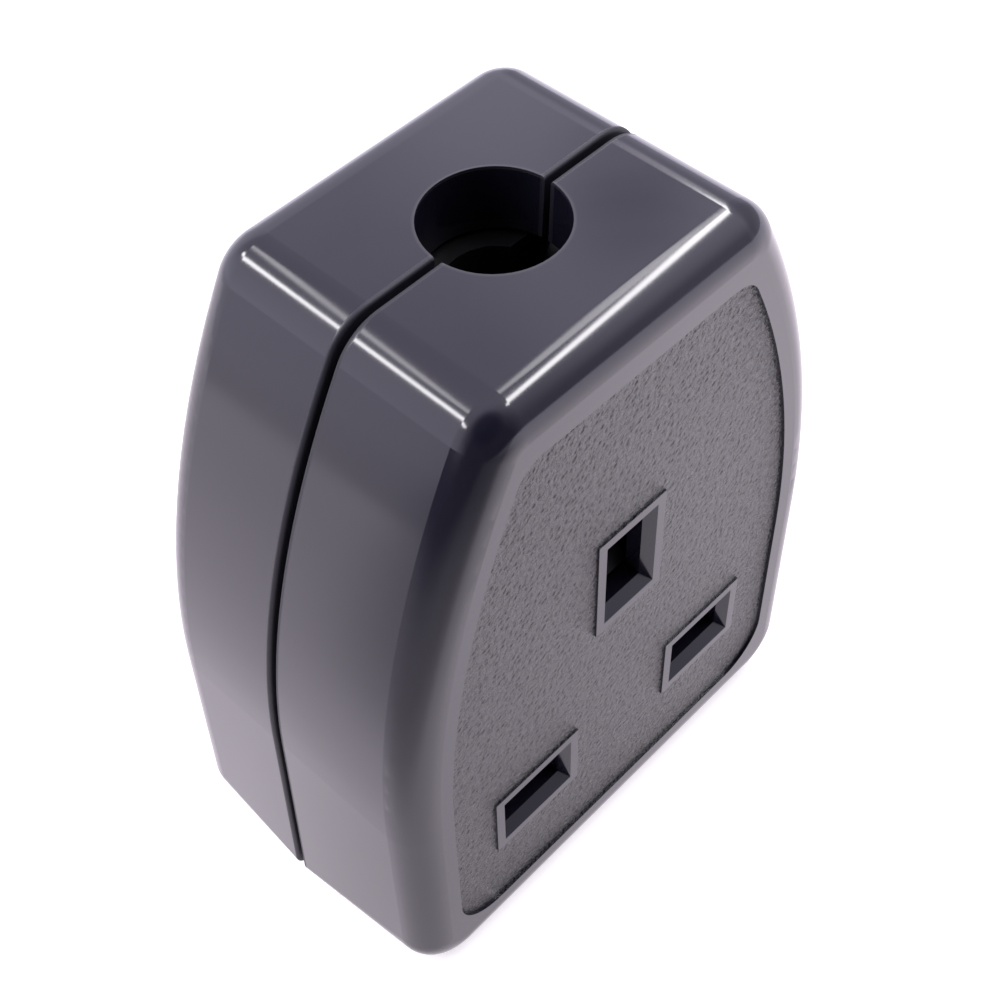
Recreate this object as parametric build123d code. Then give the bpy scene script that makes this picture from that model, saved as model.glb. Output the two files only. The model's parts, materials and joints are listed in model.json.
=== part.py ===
from build123d import *
import os
from math import hypot, sqrt

os.makedirs("parts", exist_ok=True)

# Millimetres. X runs across the face, Y from the face to the back, Z up from the foot.

# Outer form
HEIGHT = 67.9
WIDTH = 51.7
WIDEST_Z = 25.3  # the sides are straight up to here and curve in above
TOP_WIDTH = 29.2  # before the top's corners are rounded
FRONT_DEPTH = 14.4  # face to parting plane, at the top
PARTING_LEAN = 3.2  # how far the parting plane runs back from top to foot
REAR_DEPTH = 13.9  # parting plane to back
WALL = 2.5
FACE_WALL = 2.6
EDGE_RADIUS = 3.2  # round along the face and the back
TOP_RADIUS = 4.6  # where the sides meet the top
FOOT_RADIUS = 1.2  # where the sides meet the foot, at the parting plane
END_FOOT_RADIUS = 6.5  # the same corner, at the face and the back

# Joint between the two halves
GROOVE = 0.6
LIP_RADIUS = 0.3
LIP = 1.25  # outer share of the wall; the tongue takes the rest
TONGUE = 1.6
TONGUE_FIT = 0.1

# Cord entry
HOLE_RADIUS = 5.7
COLLAR_WALL = 1.8
COLLAR_LENGTH = 6.0

# Pins that the socket takes
PIN_PITCH = 22.23
PIN_LINE_Z = 17.3  # height of the two lower pins
PIN_THICK = 3.97
LIVE_PIN_WIDTH = 6.35
EARTH_PIN_WIDTH = 7.92
LIVE_PIN_REACH = 17.7
EARTH_PIN_REACH = 22.73

# Face
PANEL_INSET = 4.6
PANEL_TOP_INSET = 5.3
PANEL_DEPTH = 0.3
PANEL_FOOT_RADIUS = 5.0
PANEL_TOP_RADIUS = 3.0
FRAME_BORDER = 0.95
FRAME_RISE = 0.2  # frames round the slots, above the panel
SLOT_CLEARANCE = 0.42
FUNNEL = 0.65
FUNNEL_DEPTH = 1.1

# Shutter and its spring
SLIDE_GAP = 0.3
SHUTTER_THICK = 2.2
FLAP_LAP = 0.8
STEM_HALF = 4.2
RAMP_HALF = 2.9
RAMP_DEPTH = 5.35
RAMP_THICK = 2.2
SHUTTER_ROUND = 0.8
GUIDE_THICK = 1.2
SPRING_RADIUS = 0.95
SPRING_WIRE = 0.4
SPRING_TURNS = 5
SPRING_SEAT_Z = 5.0
SPRING_SEAT_HALF = 2.0
SPRING_END_GAP = 0.05
PEG_RADIUS = 0.55
PEG_LENGTH = 2.0

# Contact carrier
CARRIER_THICK = 1.8
CARRIER_FOOT_GAP = 0.7
CARRIER_NECK_HALF = 10.4
CARRIER_ROUND = 2.0
POCKET_WALL = 1.2
POCKET_BACK_GAP = 1.0  # pocket walls stop this far short of the contact's web
POST_RADIUS = 2.4
LOCATOR_X = 12.0
LOCATOR_RADIUS = 2.0
LOCATOR_PIN_RADIUS = 1.1

# Contacts
STRIP = 0.8
JAW_GRIP = 0.19  # how far each leaf closes in on the pin
JAW_FLARE = 0.8
JAW_FLARE_LENGTH = 1.8
JAW_SPREAD = 0.3  # leaves stand this much wider at the web than at the grip
JAW_ROOM = 0.3
LIVE_LEAF = 6.0
EARTH_LEAF = 7.0
PIN_END_GAP = 0.4
JAW_FRONT_GAP = 0.45
EARTH_JAW_SETBACK = 1.3  # the earth jaw starts behind the shutter's ramp
CLIP_STRIP = 0.4
CLIP_LENGTH = 3.2
CLIP_GAP = 0.08
CLIP_SIDE_GAP = 0.1
CLIP_ROOM = 0.7

# Terminals
TERMINAL_WIDTH = 7.0
TERMINAL_DEPTH = 6.0
TERMINAL_CHAMFER = 0.4
SEAT_GAP = 0.3
WIRE_RADIUS = 1.7
WIRE_FLOOR = 3.6  # the wire hole stops this far above the block's foot
TERMINAL_SCREW_DROP = 2.9  # below the block's top
RIVET_RISE = 1.7  # above the block's foot
RIVET_RADIUS = 0.8
RIVET_HEAD_RADIUS = 1.3
RIVET_HEAD = 0.6
RIVET_DEPTH = 1.6
RIVET_GAP = 0.3  # between a rivet's head and the clamp screw's

# Screws
SCREW_FIT = 0.06  # radial room of a screw in its hole
TERMINAL_SCREW_RADIUS = 1.5
TERMINAL_HEAD_RADIUS = 2.4
TERMINAL_HEAD = 1.5
CARRIER_SCREW_RADIUS = 1.1
CARRIER_HEAD_RADIUS = 2.0
CARRIER_HEAD = 1.3
CARRIER_SCREW_GRIP = 3.2
CLAMP_SCREW_RADIUS = 1.4
CLAMP_HEAD_RADIUS = 2.3
CLAMP_HEAD = 1.7
CLAMP_SCREW_GRIP = 8.0
CASE_SCREW_RADIUS = 1.7
CASE_HEAD_RADIUS = 2.9
CASE_HEAD = 2.0
SLOT_WIDTH = 0.8
SLOT_SHARE = 0.5  # a driver slot's depth, as a share of its head

# Case screws, their inserts and bosses
CASE_SCREW_EDGE = 7.4  # from the body's widest side to a screw's axis
CASE_HEAD_SINK = 3.0
CASE_RECESS_GAP = 0.3
CASE_CUP_WALL = 1.3
CASE_CUP_FLOOR = 1.5
CASE_COLUMN_RADIUS = 3.0
INSERT_RADIUS = 2.3
INSERT_LENGTH = 8.0
INSERT_FIT = 0.05
INSERT_GROOVE = 0.4
BOSS_WALL = 1.3

# Cord clamp
CLAMP_GAP = 0.5  # below the cord entry's collar
CLAMP_HEIGHT = 6.0
CLAMP_BORE = 4.2
CLAMP_THICK = 1.8
CLAMP_SCREW_X = 9.2
CLAMP_EAR = 3.0  # ear beyond the screw's axis
CLAMP_POST_RADIUS = 2.6
CLAMP_POST_RISE = 2.0  # posts stand this far behind the cord's axis
SADDLE_THICK = 4.0
SADDLE_DROP = 1.0  # saddle stops this far in front of the cord's axis

# Places worked out from the sizes above
SIDE_DROP = (WIDTH - TOP_WIDTH) / 2
SIDE_RADIUS = ((HEIGHT - WIDEST_Z) ** 2 + SIDE_DROP**2) / (2 * SIDE_DROP)
LEAN_SCALE = hypot(HEIGHT, PARTING_LEAN) / HEIGHT
DEPTH = FRONT_DEPTH + PARTING_LEAN + REAR_DEPTH * LEAN_SCALE
FACE_Y = -DEPTH / 2
HOLE_Y = FACE_Y + FRONT_DEPTH
FACE_INNER_Y = FACE_Y + FACE_WALL
FRAME_Y = FACE_Y + PANEL_DEPTH - FRAME_RISE
SHUTTER_Y = FACE_INNER_Y + SLIDE_GAP
SHUTTER_BACK_Y = SHUTTER_Y + SHUTTER_THICK
CARRIER_Y = SHUTTER_BACK_Y + SLIDE_GAP
CARRIER_BACK_Y = CARRIER_Y + CARRIER_THICK
EARTH_Z = PIN_LINE_Z + PIN_PITCH
LIVE_X = PIN_PITCH / 2
SLOT_HALF = PIN_THICK / 2 + SLOT_CLEARANCE
LIVE_SLOT_HALF = LIVE_PIN_WIDTH / 2 + SLOT_CLEARANCE
EARTH_SLOT_HALF = EARTH_PIN_WIDTH / 2 + SLOT_CLEARANCE
FLAP_HALF = SLOT_HALF + FLAP_LAP
SHUTTER_TRAVEL = SLOT_HALF + FLAP_HALF + SLIDE_GAP
SHUTTER_HALF = LIVE_X + LIVE_SLOT_HALF + FLAP_LAP
FLAP_TOP_Z = PIN_LINE_Z + FLAP_HALF
FLAP_FOOT_Z = PIN_LINE_Z - FLAP_HALF
RAMP_FOOT_Z = EARTH_Z - EARTH_SLOT_HALF
RAMP_TOP_Z = EARTH_Z - EARTH_PIN_WIDTH / 2 - SLIDE_GAP + SHUTTER_TRAVEL
RAMP_BACK_Y = SHUTTER_Y + RAMP_DEPTH
GRIP_HALF = PIN_THICK / 2 - JAW_GRIP + STRIP / 2
FLARE_HALF = GRIP_HALF + JAW_FLARE
WEB_HALF = GRIP_HALF + JAW_SPREAD
POCKET_HALF = FLARE_HALF + STRIP / 2 + JAW_ROOM
LIVE_WEB_Y = FACE_Y + LIVE_PIN_REACH + PIN_END_GAP + STRIP / 2
EARTH_WEB_Y = FACE_Y + EARTH_PIN_REACH + PIN_END_GAP + STRIP / 2
LIVE_JAW_Y = CARRIER_BACK_Y + JAW_FRONT_GAP
EARTH_JAW_Y = LIVE_JAW_Y + EARTH_JAW_SETBACK
TERMINAL_HEIGHT = RIVET_RISE + RIVET_HEAD_RADIUS + RIVET_GAP + TERMINAL_HEAD_RADIUS + TERMINAL_SCREW_DROP
CLAMP_SCREW_RISE = TERMINAL_HEIGHT - TERMINAL_SCREW_DROP  # above a block's foot
LIVE_BLOCK_Z = PIN_LINE_Z + POCKET_HALF + POCKET_WALL + SEAT_GAP
LIVE_BLOCK_TOP_Z = LIVE_BLOCK_Z + TERMINAL_HEIGHT
EARTH_BLOCK_Z = EARTH_Z - EARTH_LEAF / 2
EARTH_BLOCK_X = POCKET_HALF + POCKET_WALL + SEAT_GAP + TERMINAL_WIDTH / 2
CARRIER_FOOT_Z = WALL + CARRIER_FOOT_GAP
CARRIER_SHOULDER_Z = PIN_LINE_Z + POCKET_HALF + POCKET_WALL + CARRIER_ROUND
CARRIER_TOP_Z = EARTH_Z + EARTH_LEAF / 2 + CLIP_ROOM + POCKET_WALL + CARRIER_ROUND
CARRIER_HALF = SHUTTER_HALF + SLIDE_GAP + GUIDE_THICK
POST_X = CARRIER_NECK_HALF - POST_RADIUS
POST_Z = LIVE_BLOCK_TOP_Z + SEAT_GAP + CARRIER_HEAD_RADIUS
LOCATOR_Z = CARRIER_FOOT_Z + LOCATOR_RADIUS
CLAMP_Z = HEIGHT - COLLAR_LENGTH - CLAMP_GAP - CLAMP_HEIGHT / 2
CLAMP_SEAT_Y = HOLE_Y + CLAMP_POST_RISE
BOSS_RADIUS = INSERT_RADIUS + BOSS_WALL
CASE_SCREW_X = WIDTH / 2 - CASE_SCREW_EDGE
CASE_SCREW_Z = LIVE_BLOCK_TOP_Z + SEAT_GAP + BOSS_RADIUS
PARTING = Plane((0, HOLE_Y, HEIGHT), x_dir=(1, 0, 0), z_dir=(0, HEIGHT, PARTING_LEAN))
REARWARD = Axis((0, 0, 0), PARTING.z_dir)
SIDES = (-1, 1)
FAR = HEIGHT  # longer than any piece is deep


def parting_y(z, behind=0.0):
    """Depth of the parting plane at height z, or of a plane parallel to it"""
    return HOLE_Y + PARTING_LEAN * (1 - z / HEIGHT) + behind * LEAN_SCALE


def upright(sketch, y):
    """Stand a sketch of X and Z up at depth y"""
    return Plane((0, y, 0), x_dir=(1, 0, 0), z_dir=(0, -1, 0)) * sketch


def prism(sketch, start, end):
    """Extrude a sketch of X and Z from depth start to depth end"""
    return extrude(upright(sketch, start), end - start, dir=(0, 1, 0))


def rod(x, z, radius, start, end):
    """Round bar that runs from face to back"""
    return prism(Pos(x, z) * Circle(radius), start, end)


def block(x, z, half_x, half_z, start, end):
    """Rectangular bar that runs from face to back"""
    return prism(Pos(x, z) * Rectangle(2 * half_x, 2 * half_z), start, end)


def in_front(shape, behind=0.0):
    """The share of a shape before a plane parallel to the parting plane"""
    return split(shape, bisect_by=PARTING.offset(behind), keep=Keep.BOTTOM)


def behind(shape, offset=0.0):
    """The share of a shape behind a plane parallel to the parting plane"""
    return split(shape, bisect_by=PARTING.offset(offset), keep=Keep.TOP)


def rounded_ends(sketch, end, radius):
    """Round the two corners at one end of an outline: 0 is the foot, -1 the top"""
    if radius <= 0:
        return sketch
    return fillet(sketch.vertices().group_by(Axis.Y)[end], radius)


def body_outline(inset=0.0, foot_radius=0.0, top_radius=0.0, top_inset=None):
    """Front view of the body in X and Z, set in all round"""
    half = WIDTH / 2 - inset
    top = HEIGHT - (inset if top_inset is None else top_inset)
    side_radius = SIDE_RADIUS - inset
    top_half = half - side_radius + sqrt(side_radius**2 - (top - WIDEST_Z) ** 2)
    edges = [Line((-half, inset), (half, inset)), Line((-top_half, top), (top_half, top))]
    for side in SIDES:
        widest = (side * half, WIDEST_Z)
        edges.append(Line((side * half, inset), widest))
        edges.append(TangentArc(widest, (side * top_half, top), tangent=(0, 1)))
    sketch = make_face(edges)
    return rounded_ends(rounded_ends(sketch, 0, foot_radius), -1, top_radius)


def inner_outline(inset):
    """Outline of the inside of the wall, with what is left of the top's round"""
    return body_outline(inset, top_radius=max(TOP_RADIUS - inset, 0))


def slots():
    """Place and half sizes of the three pin slots: x, z, half width, half height"""
    live = [(side * LIVE_X, PIN_LINE_Z, LIVE_SLOT_HALF, SLOT_HALF) for side in SIDES]
    return live + [(0, EARTH_Z, SLOT_HALF, EARTH_SLOT_HALF)]


def collar():
    """Tube under the top that the cord passes through, both halves of it"""
    length = COLLAR_LENGTH - LIP
    tube = Cylinder(HOLE_RADIUS + COLLAR_WALL, length, align=(Align.CENTER, Align.CENTER, Align.MIN))
    return Pos(0, HOLE_Y, HEIGHT - COLLAR_LENGTH) * tube


def cord_hole(room=0.0):
    """Round way in for the cord"""
    return Pos(0, HOLE_Y, HEIGHT) * Cylinder(HOLE_RADIUS + room, 2 * COLLAR_LENGTH + FACE_WALL)


def foot_corner(side, radius, y):
    """What a round takes off one lower corner, as a face at depth y"""
    corner = (side * WIDTH / 2, 0)
    start = (corner[0] - side * radius, 0)
    end = (corner[0], radius)
    edges = [Line(start, corner), Line(corner, end), TangentArc(start, end, tangent=(side, 0))]
    return upright(make_face(edges), y)


def outer_form(end_y):
    """Solid body whose lower corners grow rounder from the parting plane to the face or the back"""
    form = prism(body_outline(top_radius=TOP_RADIUS), FACE_Y, FAR)
    for side in SIDES:
        joint = foot_corner(side, FOOT_RADIUS, parting_y(0))
        form -= loft([joint, foot_corner(side, END_FOOT_RADIUS, end_y)], ruled=True)
    return form


def front_form():
    """Solid outer form of the front half"""
    form = in_front(outer_form(FACE_Y), -GROOVE / 2)
    form = fillet(form.faces().sort_by(Axis.Y)[0].edges(), EDGE_RADIUS)
    return fillet(form.faces().sort_by(REARWARD)[-1].edges(), LIP_RADIUS)


def rear_form():
    """Solid outer form of the rear half"""
    form = in_front(behind(outer_form(-FACE_Y), GROOVE / 2), REAR_DEPTH)
    form = fillet(form.faces().sort_by(REARWARD)[-1].edges(), EDGE_RADIUS)
    return fillet(form.faces().sort_by(REARWARD)[0].edges(), LIP_RADIUS)


def slot_cut(x, z, half_x, half_z):
    """Pin slot with its funnel"""
    mouth = upright(Pos(x, z) * Rectangle(2 * (half_x + FUNNEL), 2 * (half_z + FUNNEL)), FRAME_Y)
    throat = upright(Pos(x, z) * Rectangle(2 * half_x, 2 * half_z), FACE_Y + FUNNEL_DEPTH)
    return loft([mouth, throat], ruled=True) + block(x, z, half_x, half_z, FACE_Y, FACE_INNER_Y)


def panel_cut():
    """Sunk panel of the face, with a low frame round each slot"""
    panel = body_outline(PANEL_INSET, PANEL_FOOT_RADIUS, PANEL_TOP_RADIUS, PANEL_TOP_INSET)
    frames = prism(panel, FACE_Y - PANEL_DEPTH, FRAME_Y)
    border = FUNNEL + FRAME_BORDER
    for x, z, half_x, half_z in slots():
        panel -= Pos(x, z) * Rectangle(2 * (half_x + border), 2 * (half_z + border))
    return frames + prism(panel, FACE_Y - PANEL_DEPTH, FACE_Y + PANEL_DEPTH)


def shutter_guides():
    """Ribs beside the shutter's stem and flaps, and the seat and peg of its spring"""
    spring_y = SHUTTER_Y + SHUTTER_THICK / 2
    peg = Cylinder(PEG_RADIUS, PEG_LENGTH, align=(Align.CENTER, Align.CENTER, Align.MIN))
    parts = Pos(0, spring_y, SPRING_SEAT_Z) * peg
    seat_half = (SPRING_SEAT_Z - LIP) / 2
    parts += block(0, SPRING_SEAT_Z - seat_half, SPRING_SEAT_HALF, seat_half, FACE_INNER_Y, CARRIER_Y)
    ribs = (
        (STEM_HALF, FLAP_TOP_Z + SLIDE_GAP, RAMP_FOOT_Z),
        (SHUTTER_HALF, FLAP_FOOT_Z - SHUTTER_TRAVEL, FLAP_TOP_Z),
    )
    for guided_half, foot, top in ribs:
        for side in SIDES:
            x = side * (guided_half + SLIDE_GAP + GUIDE_THICK / 2)
            parts += block(x, (foot + top) / 2, GUIDE_THICK / 2, (top - foot) / 2, FACE_INNER_Y, CARRIER_Y)
    return parts


def front_bosses():
    """Posts of the carrier, the cord clamp and the case screws, and the cord's saddle"""
    saddle_half = CLAMP_SCREW_X - CLAMP_POST_RADIUS / 2
    parts = block(0, CLAMP_Z, saddle_half, SADDLE_THICK / 2, FACE_INNER_Y, HOLE_Y - SADDLE_DROP)
    parts -= Pos(0, HOLE_Y, CLAMP_Z) * Cylinder(CLAMP_BORE, CLAMP_HEIGHT)
    for side in SIDES:
        parts += rod(side * POST_X, POST_Z, POST_RADIUS, FACE_INNER_Y, CARRIER_Y)
        parts += rod(side * LOCATOR_X, LOCATOR_Z, LOCATOR_RADIUS, FACE_INNER_Y, CARRIER_Y)
        parts += rod(side * LOCATOR_X, LOCATOR_Z, LOCATOR_PIN_RADIUS, FACE_INNER_Y, CARRIER_BACK_Y)
        parts += rod(side * CLAMP_SCREW_X, CLAMP_Z, CLAMP_POST_RADIUS, FACE_INNER_Y, CLAMP_SEAT_Y)
        boss = rod(side * CASE_SCREW_X, CASE_SCREW_Z, BOSS_RADIUS, FACE_INNER_Y, FAR)
        parts += in_front(boss, -GROOVE / 2)
    return parts


def insert_span():
    """Depths where a case insert starts and ends"""
    end = parting_y(CASE_SCREW_Z + BOSS_RADIUS, -GROOVE / 2)
    return end - INSERT_LENGTH, end


def front_holes():
    """Holes of the front half's screws and inserts"""
    insert_start, _ = insert_span()
    holes = cord_hole()
    for side in SIDES:
        start = CARRIER_Y - CARRIER_SCREW_GRIP - SLIDE_GAP
        holes += rod(side * POST_X, POST_Z, CARRIER_SCREW_RADIUS + SCREW_FIT, start, CARRIER_Y)
        start = CLAMP_SEAT_Y - CLAMP_SCREW_GRIP - SLIDE_GAP
        holes += rod(side * CLAMP_SCREW_X, CLAMP_Z, CLAMP_SCREW_RADIUS + SCREW_FIT, start, CLAMP_SEAT_Y)
        x, z = side * CASE_SCREW_X, CASE_SCREW_Z
        holes += rod(x, z, CASE_SCREW_RADIUS + SCREW_FIT, insert_start - SLIDE_GAP, FAR)
        holes += rod(x, z, INSERT_RADIUS + INSERT_FIT, insert_start, FAR)
    return holes


def front_housing():
    """Front half: face, slots, guides and bosses in one moulding"""
    housing = front_form() - prism(inner_outline(WALL), FACE_INNER_Y, FAR)
    housing -= behind(prism(inner_outline(LIP), FACE_INNER_Y, FAR), -TONGUE)
    housing += in_front(collar(), -GROOVE / 2) + shutter_guides() + front_bosses()
    housing -= panel_cut() + front_holes()
    for slot in slots():
        housing -= slot_cut(*slot)
    return housing


def tongue():
    """Rim of the rear half that plugs into the front half, clear of the collar"""
    ring = prism(inner_outline(LIP + TONGUE_FIT), FACE_INNER_Y, FAR)
    ring -= prism(inner_outline(WALL), FACE_INNER_Y, FAR)
    ring = behind(in_front(ring, GROOVE / 2 + LIP_RADIUS), -TONGUE)
    return ring - cord_hole(COLLAR_WALL + TONGUE_FIT)


def case_head_y():
    """Depth of the seat under a case screw's head"""
    return parting_y(CASE_SCREW_Z, REAR_DEPTH) - CASE_HEAD_SINK


def rear_cover():
    """Rear half: plain back, tongue and the columns of the case screws"""
    cavity = in_front(prism(inner_outline(WALL), FACE_Y, FAR), REAR_DEPTH - WALL)
    cover = rear_form() - cavity + tongue() + behind(collar(), GROOVE / 2)
    recess = CASE_HEAD_RADIUS + CASE_RECESS_GAP
    seat = case_head_y()
    for side in SIDES:
        x, z = side * CASE_SCREW_X, CASE_SCREW_Z
        cup = rod(x, z, recess + CASE_CUP_WALL, seat - CASE_CUP_FLOOR, parting_y(z, REAR_DEPTH - WALL / 2))
        column = rod(x, z, CASE_COLUMN_RADIUS, FACE_Y, seat)
        cover += cup + behind(column, GROOVE / 2)
        cover -= rod(x, z, recess, seat, FAR) + rod(x, z, CASE_SCREW_RADIUS + SCREW_FIT, FACE_Y, FAR)
    return cover - cord_hole()


def shutter():
    """Plate with two flaps and a stem that ends in the earth pin's ramp"""
    flaps = Pos(0, PIN_LINE_Z) * Rectangle(2 * SHUTTER_HALF, 2 * FLAP_HALF)
    stem_half = (RAMP_FOOT_Z - FLAP_FOOT_Z) / 2
    stem = Pos(0, FLAP_FOOT_Z + stem_half) * Rectangle(2 * STEM_HALF, 2 * stem_half)
    outline = flaps + stem
    corners = outline.vertices().filter_by(lambda v: abs(v.X) > STEM_HALF + SHUTTER_ROUND)
    plate = prism(fillet(corners, SHUTTER_ROUND), SHUTTER_Y, SHUTTER_BACK_Y)
    heel = RAMP_FOOT_Z - RAMP_THICK
    side_view = make_face(
        Polyline(
            (SHUTTER_Y, heel),
            (SHUTTER_Y, RAMP_FOOT_Z),
            (RAMP_BACK_Y, RAMP_TOP_Z),
            (RAMP_BACK_Y, RAMP_TOP_Z - RAMP_THICK),
            (SHUTTER_BACK_Y, heel),
            close=True,
        )
    )
    return plate + extrude(Plane.YZ * side_view, RAMP_HALF, both=True)


def shutter_spring():
    """Coil that lifts the shutter"""
    height = FLAP_FOOT_Z - SPRING_SEAT_Z - SPRING_WIRE - 2 * SPRING_END_GAP
    foot = (0, SHUTTER_Y + SHUTTER_THICK / 2, SPRING_SEAT_Z + SPRING_WIRE / 2 + SPRING_END_GAP)
    path = Helix(height / SPRING_TURNS, height, SPRING_RADIUS)
    section = Plane(path @ 0, z_dir=path % 0) * Circle(SPRING_WIRE / 2)
    return Pos(*foot) * sweep(section, path=path, is_frenet=True)


def pocket(x, z, half_x, half_z, web_y):
    """Rectangular sleeve round one contact's jaw"""
    end = web_y - STRIP / 2 - POCKET_BACK_GAP
    sleeve = block(x, z, half_x + POCKET_WALL, half_z + POCKET_WALL, CARRIER_Y, end)
    return sleeve - block(x, z, half_x, half_z, CARRIER_BACK_Y, end)


def carrier_plate():
    """Front view of the carrier: a wide foot and a neck up to the earth contact"""
    foot_half = (CARRIER_SHOULDER_Z - CARRIER_FOOT_Z) / 2
    neck_half = (CARRIER_TOP_Z - CARRIER_FOOT_Z) / 2
    outline = Pos(0, CARRIER_FOOT_Z + foot_half) * Rectangle(2 * CARRIER_HALF, 2 * foot_half)
    outline += Pos(0, CARRIER_FOOT_Z + neck_half) * Rectangle(2 * CARRIER_NECK_HALF, 2 * neck_half)
    return fillet(outline.vertices(), CARRIER_ROUND)


def contact_carrier():
    """Inner moulding that keeps the shutter in and holds the contacts"""
    carrier = prism(carrier_plate(), CARRIER_Y, CARRIER_BACK_Y)
    leaf_room = LIVE_LEAF / 2 + CLIP_ROOM
    for side in SIDES:
        carrier += pocket(side * LIVE_X, PIN_LINE_Z, leaf_room, POCKET_HALF, LIVE_WEB_Y)
    carrier += pocket(0, EARTH_Z, POCKET_HALF, EARTH_LEAF / 2 + CLIP_ROOM, EARTH_WEB_Y)
    for x, z, half_x, half_z in slots():
        carrier -= block(x, z, half_x, half_z, CARRIER_Y, CARRIER_BACK_Y)
    window_foot = RAMP_FOOT_Z - RAMP_THICK - SHUTTER_TRAVEL - SLIDE_GAP
    window_half = (RAMP_TOP_Z + SLIDE_GAP - window_foot) / 2
    window_z = window_foot + window_half
    window_end = RAMP_BACK_Y + SLIDE_GAP
    carrier -= block(0, window_z, RAMP_HALF + SLIDE_GAP, window_half, CARRIER_Y, window_end)
    for side in SIDES:
        screw, pin = CARRIER_SCREW_RADIUS + SCREW_FIT, LOCATOR_PIN_RADIUS + SCREW_FIT
        carrier -= rod(side * POST_X, POST_Z, screw, CARRIER_Y, CARRIER_BACK_Y)
        carrier -= rod(side * LOCATOR_X, LOCATOR_Z, pin, CARRIER_Y, CARRIER_BACK_Y)
    return carrier


def strip_outline(points, thickness):
    """Closed outline of a bent strip along its middle line"""
    middle = Polyline(*points)
    return make_face(offset(middle, thickness / 2, kind=Kind.INTERSECTION, side=Side.BOTH).edges())


def jaw(leaf, jaw_y, web_y):
    """Two sprung leaves and their web: X along the leaf, Z across the gap"""
    grip_y = jaw_y + JAW_FLARE_LENGTH
    upper = [(jaw_y, FLARE_HALF), (grip_y, GRIP_HALF), (web_y, WEB_HALF)]
    lower = [(y, -z) for y, z in reversed(upper)]
    return extrude(Plane.YZ * strip_outline(upper + lower, STRIP), leaf / 2, both=True)


def jaw_clip(leaf, jaw_y):
    """Steel clip that presses the leaves together, open on its left side"""
    clip_y = jaw_y + JAW_FLARE_LENGTH
    spread = JAW_SPREAD * CLIP_LENGTH / (LIVE_WEB_Y - clip_y)
    leg = GRIP_HALF + spread + STRIP / 2 + CLIP_GAP + CLIP_STRIP / 2
    back = leaf / 2 + CLIP_SIDE_GAP + CLIP_STRIP / 2
    tip = CLIP_STRIP - leaf / 2
    section = strip_outline([(tip, leg), (back, leg), (back, -leg), (tip, -leg)], CLIP_STRIP)
    return prism(section, clip_y, clip_y + CLIP_LENGTH)


def tail(x, block_z, web_y, low, high):
    """Flat tail from a jaw's web to behind its terminal, between two corners in X and Z"""
    half_x = (high[0] - low[0]) / 2
    half_z = (high[1] - low[1]) / 2
    plate = block(low[0] + half_x, low[1] + half_z, half_x, half_z, web_y - STRIP / 2, web_y + STRIP / 2)
    plate -= rod(x, block_z + CLAMP_SCREW_RISE, TERMINAL_SCREW_RADIUS + SCREW_FIT, FACE_Y, FAR)
    return plate - rod(x, block_z + RIVET_RISE, RIVET_RADIUS + SCREW_FIT, FACE_Y, FAR)


def line_contact():
    """Line contact: a level jaw with an upright tail"""
    body = Pos(LIVE_X, 0, PIN_LINE_Z) * jaw(LIVE_LEAF, LIVE_JAW_Y, LIVE_WEB_Y)
    low = (LIVE_X - LIVE_LEAF / 2, PIN_LINE_Z)
    high = (LIVE_X + LIVE_LEAF / 2, LIVE_BLOCK_TOP_Z)
    return body + tail(LIVE_X, LIVE_BLOCK_Z, LIVE_WEB_Y, low, high)


def earth_contact():
    """Earth contact: an upright jaw with a tail to one side"""
    body = Pos(0, 0, EARTH_Z) * Rot(0, 90, 0) * jaw(EARTH_LEAF, EARTH_JAW_Y, EARTH_WEB_Y)
    high = (EARTH_BLOCK_X + TERMINAL_WIDTH / 2, EARTH_BLOCK_Z + TERMINAL_HEIGHT)
    return body + tail(EARTH_BLOCK_X, EARTH_BLOCK_Z, EARTH_WEB_Y, (0, EARTH_BLOCK_Z), high)


def terminal(x, block_z, web_y):
    """Brass block with a wire hole from above and a clamp screw from behind"""
    back = web_y - STRIP / 2
    half = TERMINAL_HEIGHT / 2
    body = block(x, block_z + half, TERMINAL_WIDTH / 2, half, back - TERMINAL_DEPTH, back)
    body = chamfer(body.edges().filter_by(Axis.Z), TERMINAL_CHAMFER)
    wire = Cylinder(WIRE_RADIUS, FAR, align=(Align.CENTER, Align.CENTER, Align.MIN))
    body -= Pos(x, back - TERMINAL_DEPTH / 2, block_z + WIRE_FLOOR) * wire
    screw = TERMINAL_SCREW_RADIUS + SCREW_FIT
    body -= rod(x, block_z + CLAMP_SCREW_RISE, screw, back - TERMINAL_DEPTH / 2, back)
    rivet = RIVET_RADIUS + SCREW_FIT
    return body - rod(x, block_z + RIVET_RISE, rivet, back - RIVET_DEPTH - SCREW_FIT, back)


def slotted_screw(x, z, seat, radius, grip, head_radius, head):
    """Screw with its head behind the seat and its shank running forward"""
    screw = rod(x, z, head_radius, seat, seat + head)
    rim = screw.edges().filter_by(GeomType.CIRCLE).sort_by(Axis.Y)[-1]
    screw = chamfer(rim, head * SLOT_SHARE / 2)
    screw += rod(x, z, radius, seat - grip, seat)
    return screw - block(x, z, head_radius, SLOT_WIDTH / 2, seat + head * (1 - SLOT_SHARE), seat + head)


def terminals():
    """Place of each terminal: name, x, height of its foot, depth of its web"""
    return (
        ("line", LIVE_X, LIVE_BLOCK_Z, LIVE_WEB_Y),
        ("neutral", -LIVE_X, LIVE_BLOCK_Z, LIVE_WEB_Y),
        ("earth", EARTH_BLOCK_X, EARTH_BLOCK_Z, EARTH_WEB_Y),
    )


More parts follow.
